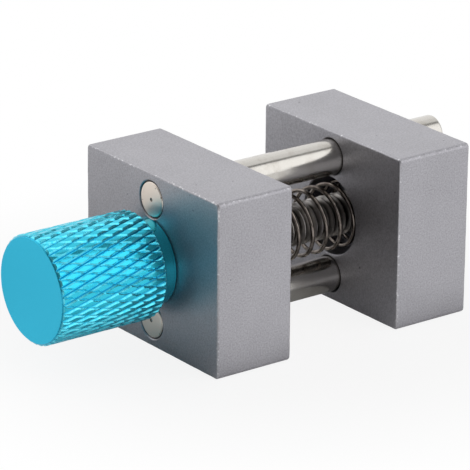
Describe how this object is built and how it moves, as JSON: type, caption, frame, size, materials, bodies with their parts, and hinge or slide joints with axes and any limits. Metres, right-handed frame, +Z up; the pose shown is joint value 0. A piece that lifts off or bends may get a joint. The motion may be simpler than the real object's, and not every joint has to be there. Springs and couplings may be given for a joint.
{
  "type": "mini table vise",
  "caption": "Mini table vise: a knurled knob turns a lead screw that draws a sliding jaw along guide rods towards a fixed jaw, against a return spring.",
  "frame": {"origin": "middle of the front (fixed) jaw's underside", "axes": "+X along the screw from the knob towards the rear jaw, +Z up, +Y across the jaws"},
  "size_m": [0.0677, 0.03, 0.0246],
  "materials": {
    "jaw_anodised": "bead-blasted and grey hard anodised, matt",
    "rod_polished": "ground and polished",
    "screw_steel": "rolled thread, lightly oiled",
    "knob_blue": "blue anodised, satin, knurled",
    "spring_wire": "bright drawn wire"
  },
  "bodies": {
    "fixed_jaw": {"front_jaw": "jaw_anodised", "upper_guide_rod": "rod_polished", "lower_guide_rod": "rod_polished", "return_spring": "spring_wire"},
    "moving_jaw": {"rear_jaw": "jaw_anodised"},
    "knob_and_screw": {"knob": "knob_blue", "lead_screw": "screw_steel"}
  },
  "joints": [
    {"name": "jaw_slide", "type": "slide", "parent": "fixed_jaw", "child": "moving_jaw", "axis": [1, 0, 0], "range_m": [-0.01815, 0.006], "deforming": ["return_spring"]},
    {"name": "knob_turn", "type": "hinge", "parent": "fixed_jaw", "child": "knob_and_screw", "pos_m": [0, 0, 0.0123], "axis": [1, 0, 0], "range_deg": [-2161, 6535]}
  ],
  "couplings": [
    {"joint": "knob_turn", "follows": "jaw_slide", "rad_per_m": -6283.2}
  ]
}
